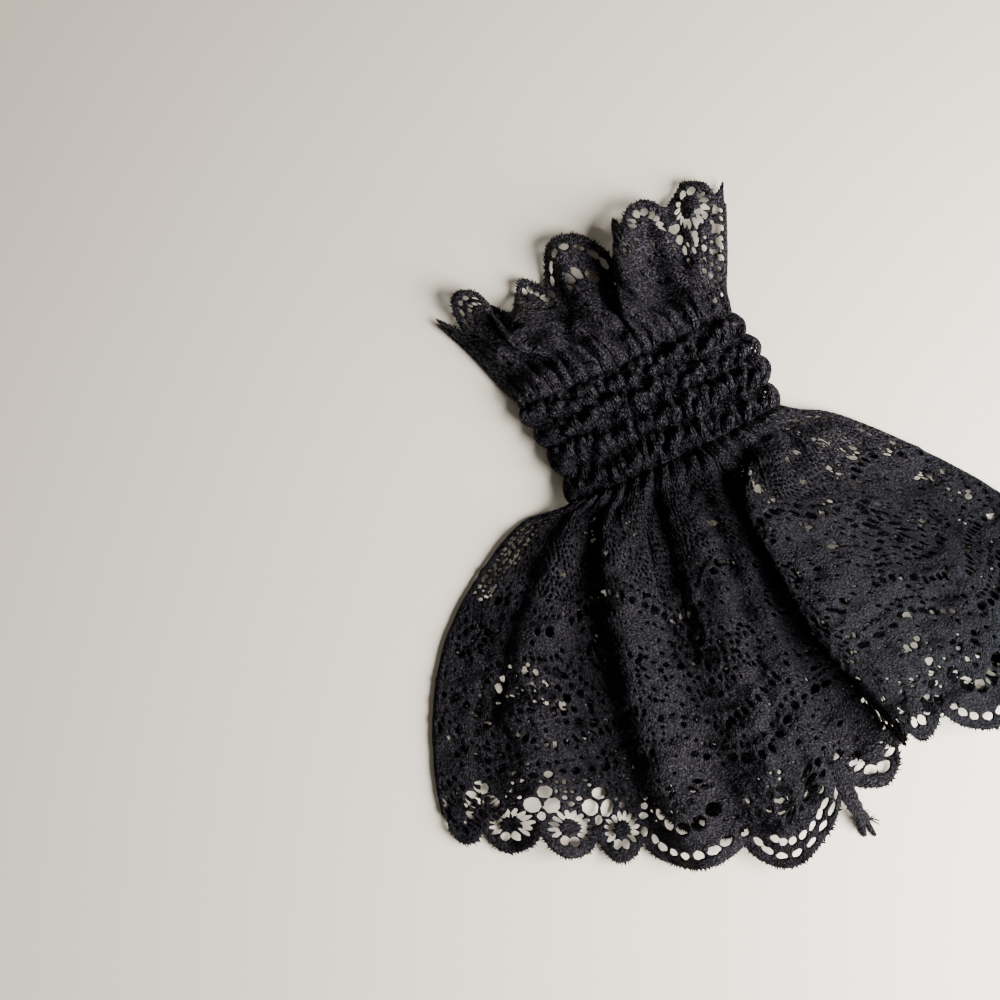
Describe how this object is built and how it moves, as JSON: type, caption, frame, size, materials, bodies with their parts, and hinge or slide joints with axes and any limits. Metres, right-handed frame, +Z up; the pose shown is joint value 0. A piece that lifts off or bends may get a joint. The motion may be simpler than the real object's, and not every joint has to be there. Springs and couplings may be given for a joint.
{
  "type": "lace wrist cuff",
  "caption": "Wrist cuff of scalloped openwork lace lying flat: a short ruffle, an elastic shirred band and a long flared ruffle.",
  "frame": {"origin": "middle of the cuff's footprint on the surface it lies on", "axes": "+Z up from the surface, +X to the right and +Y away from the viewer as the cuff lies in the picture, short ruffle towards +Y"},
  "size_m": [0.2254, 0.23, 0.0149],
  "materials": {
    "lace": "matte black embroidered thread with a faint sheen",
    "shirring_thread": "black covered elastic thread",
    "seam_tail": "matte black frayed lace"
  },
  "bodies": {
    "root": {"lace_front": "lace", "lace_back": "lace", "elastic_row_1": "shirring_thread", "elastic_row_2": "shirring_thread", "elastic_row_3": "shirring_thread", "elastic_row_4": "shirring_thread", "elastic_row_5": "shirring_thread", "seam_tail": "seam_tail"}
  },
  "joints": []
}
